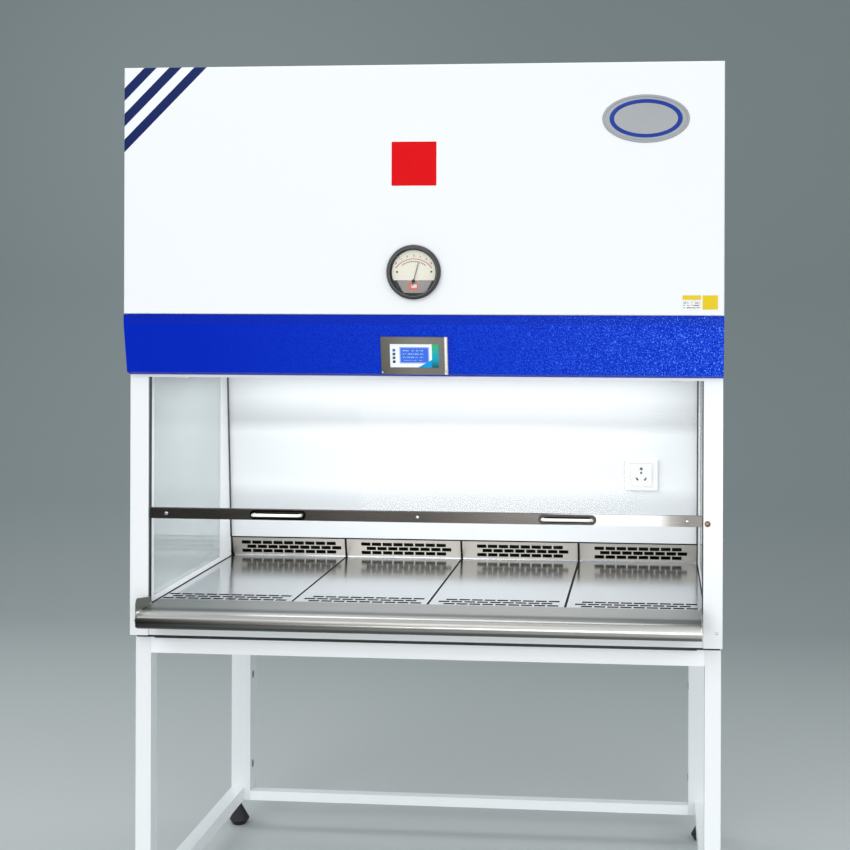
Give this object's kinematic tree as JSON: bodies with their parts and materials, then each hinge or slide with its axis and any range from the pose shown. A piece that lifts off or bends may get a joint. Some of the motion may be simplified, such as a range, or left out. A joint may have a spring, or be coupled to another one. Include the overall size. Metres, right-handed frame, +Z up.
{
  "type": "biosafety cabinet",
  "caption": "Bench-height biological safety cabinet on a square-tube stand: sliding sash, slotted steel work trays, rounded armrest, pressure gauge and key display.",
  "frame": {"origin": "floor level, centre of the bounding box's base", "axes": "+X to the right of the person working at it, +Y from that person into the cabinet, +Z up"},
  "size_m": [1.366, 0.845, 2.0165],
  "materials": {
    "white_paint": "smooth gloss powder coat",
    "blue_paint": "hammer-tone gloss",
    "stainless": "brushed",
    "polished_steel": "polished",
    "clear_glass": "clear",
    "black_rubber": "matte",
    "guide_plastic": "satin",
    "rail_steel": "satin",
    "weight_iron": "rough",
    "wire_rope": "laid wire",
    "filter_media": "pleated",
    "sheet_zinc": "mill",
    "lamp_white": "gloss",
    "box_grey": "matte",
    "gauge_black": "satin",
    "dial_cream": "matte",
    "pointer_black": "matte",
    "overlay_white": "satin",
    "key_teal": "satin",
    "socket_white": "gloss"
  },
  "bodies": {
    "cabinet": {"column_left": "white_paint", "column_right": "white_paint", "side_wall_left": "white_paint", "side_wall_right": "white_paint", "back_panel": "white_paint", "roof_panel": "white_paint", "header_rail": "white_paint", "panel_hinge": "white_paint", "inner_back_wall": "white_paint", "ceiling_diffuser": "white_paint", "base_pan": "white_paint", "stand_top_frame": "white_paint", "stand_low_rails": "white_paint", "leg_front_left": "white_paint", "leg_front_right": "white_paint", "leg_rear_left": "white_paint", "leg_rear_right": "white_paint", "control_fascia": "blue_paint", "armrest": "stainless", "display_bezel": "stainless", "side_glass": "clear_glass", "isolation_pads": "black_rubber", "sash_guides": "guide_plastic", "shaft_bearings": "rail_steel", "blower_motor": "weight_iron", "sash_cables": "wire_rope", "weight_cables": "wire_rope", "supply_filter": "filter_media", "exhaust_filter": "filter_media", "pressure_plenum": "sheet_zinc", "blower_housing": "sheet_zinc", "work_lamp": "lamp_white", "control_box": "box_grey", "display_panel": "overlay_white", "power_socket": "socket_white"},
    "sash": {"sash_glass": "clear_glass", "sash_bar": "stainless", "sash_top_rail": "rail_steel", "sash_handles": "polished_steel"},
    "counterweights": {"counterweights": "weight_iron"},
    "pulley_shaft": {"pulley_shaft": "rail_steel"},
    "front_panel": {"front_panel": "white_paint", "gauge_case": "gauge_black", "gauge_dial": "dial_cream", "gauge_lens": "clear_glass"},
    "gauge_pointer": {"gauge_pointer": "pointer_black"},
    "blower_rotor": {"blower_rotor": "sheet_zinc"},
    "work_tray_1": {"work_tray_1": "stainless"},
    "key_1": {"key_1": "key_teal"},
    "work_tray_2": {"work_tray_2": "stainless"},
    "key_2": {"key_2": "key_teal"},
    "work_tray_3": {"work_tray_3": "stainless"},
    "key_3": {"key_3": "key_teal"},
    "work_tray_4": {"work_tray_4": "stainless"},
    "key_4": {"key_4": "key_teal"},
    "foot_front_left": {"foot_front_left": "black_rubber"},
    "foot_front_right": {"foot_front_right": "black_rubber"},
    "foot_rear_left": {"foot_rear_left": "black_rubber"},
    "foot_rear_right": {"foot_rear_right": "black_rubber"}
  },
  "joints": [
    {"name": "sash_slide", "type": "slide", "parent": "cabinet", "child": "sash", "axis": [0, 0, 1], "range_m": [-0.197, 0.3], "deforming": ["sash_cables"]},
    {"name": "counterweight_slide", "type": "slide", "parent": "cabinet", "child": "counterweights", "axis": [0, 0, 1], "range_m": [-0.3, 0.197], "deforming": ["weight_cables"]},
    {"name": "pulley_turn", "type": "hinge", "parent": "cabinet", "child": "pulley_shaft", "pos_m": [0, -0.308, 1.978], "axis": [1, 0, 0], "range_deg": [-865, 570]},
    {"name": "front_panel_hinge", "type": "hinge", "parent": "cabinet", "child": "front_panel", "pos_m": [0, -0.3545, 2.0135], "axis": [-1, 0, 0], "range_deg": [0, 75]},
    {"name": "gauge_pointer_turn", "type": "hinge", "parent": "front_panel", "child": "gauge_pointer", "pos_m": [-0.01, -0.3825, 1.5347], "axis": [0, 1, 0], "range_deg": [-60, 30]},
    {"name": "blower_turn", "type": "hinge", "parent": "cabinet", "child": "blower_rotor", "pos_m": [0, 0.13, 1.67765], "axis": [0, 1, 0], "continuous": true},
    {"name": "work_tray_1_lift", "type": "hinge", "parent": "cabinet", "child": "work_tray_1", "pos_m": [-0.48, 0.2755, 0.778], "axis": [-1, 0, 0], "range_deg": [0, 20]},
    {"name": "work_tray_2_lift", "type": "hinge", "parent": "cabinet", "child": "work_tray_2", "pos_m": [-0.16, 0.2755, 0.778], "axis": [-1, 0, 0], "range_deg": [0, 20]},
    {"name": "work_tray_3_lift", "type": "hinge", "parent": "cabinet", "child": "work_tray_3", "pos_m": [0.16, 0.2755, 0.778], "axis": [-1, 0, 0], "range_deg": [0, 20]},
    {"name": "work_tray_4_lift", "type": "hinge", "parent": "cabinet", "child": "work_tray_4", "pos_m": [0.48, 0.2755, 0.778], "axis": [-1, 0, 0], "range_deg": [0, 20]},
    {"name": "key_1_press", "type": "slide", "parent": "cabinet", "child": "key_1", "axis": [0, 0.9839, 0.1789], "range_m": [0, 0.0004], "stiffness_N_per_m": 1500, "springref_m": -0.0003},
    {"name": "key_2_press", "type": "slide", "parent": "cabinet", "child": "key_2", "axis": [0, 0.9839, 0.1789], "range_m": [0, 0.0004], "stiffness_N_per_m": 1500, "springref_m": -0.0003},
    {"name": "key_3_press", "type": "slide", "parent": "cabinet", "child": "key_3", "axis": [0, 0.9839, 0.1789], "range_m": [0, 0.0004], "stiffness_N_per_m": 1500, "springref_m": -0.0003},
    {"name": "key_4_press", "type": "slide", "parent": "cabinet", "child": "key_4", "axis": [0, 0.9839, 0.1789], "range_m": [0, 0.0004], "stiffness_N_per_m": 1500, "springref_m": -0.0003},
    {"name": "foot_front_left_level", "type": "slide", "parent": "cabinet", "child": "foot_front_left", "axis": [0, 0, 1], "range_m": [0, 0.015]},
    {"name": "foot_front_right_level", "type": "slide", "parent": "cabinet", "child": "foot_front_right", "axis": [0, 0, 1], "range_m": [0, 0.015]},
    {"name": "foot_rear_left_level", "type": "slide", "parent": "cabinet", "child": "foot_rear_left", "axis": [0, 0, 1], "range_m": [0, 0.015]},
    {"name": "foot_rear_right_level", "type": "slide", "parent": "cabinet", "child": "foot_rear_right", "axis": [0, 0, 1], "range_m": [0, 0.015]}
  ],
  "couplings": [
    {"joint": "counterweight_slide", "follows": "sash_slide", "ratio": -1},
    {"joint": "pulley_turn", "follows": "sash_slide", "rad_per_m": -50}
  ]
}
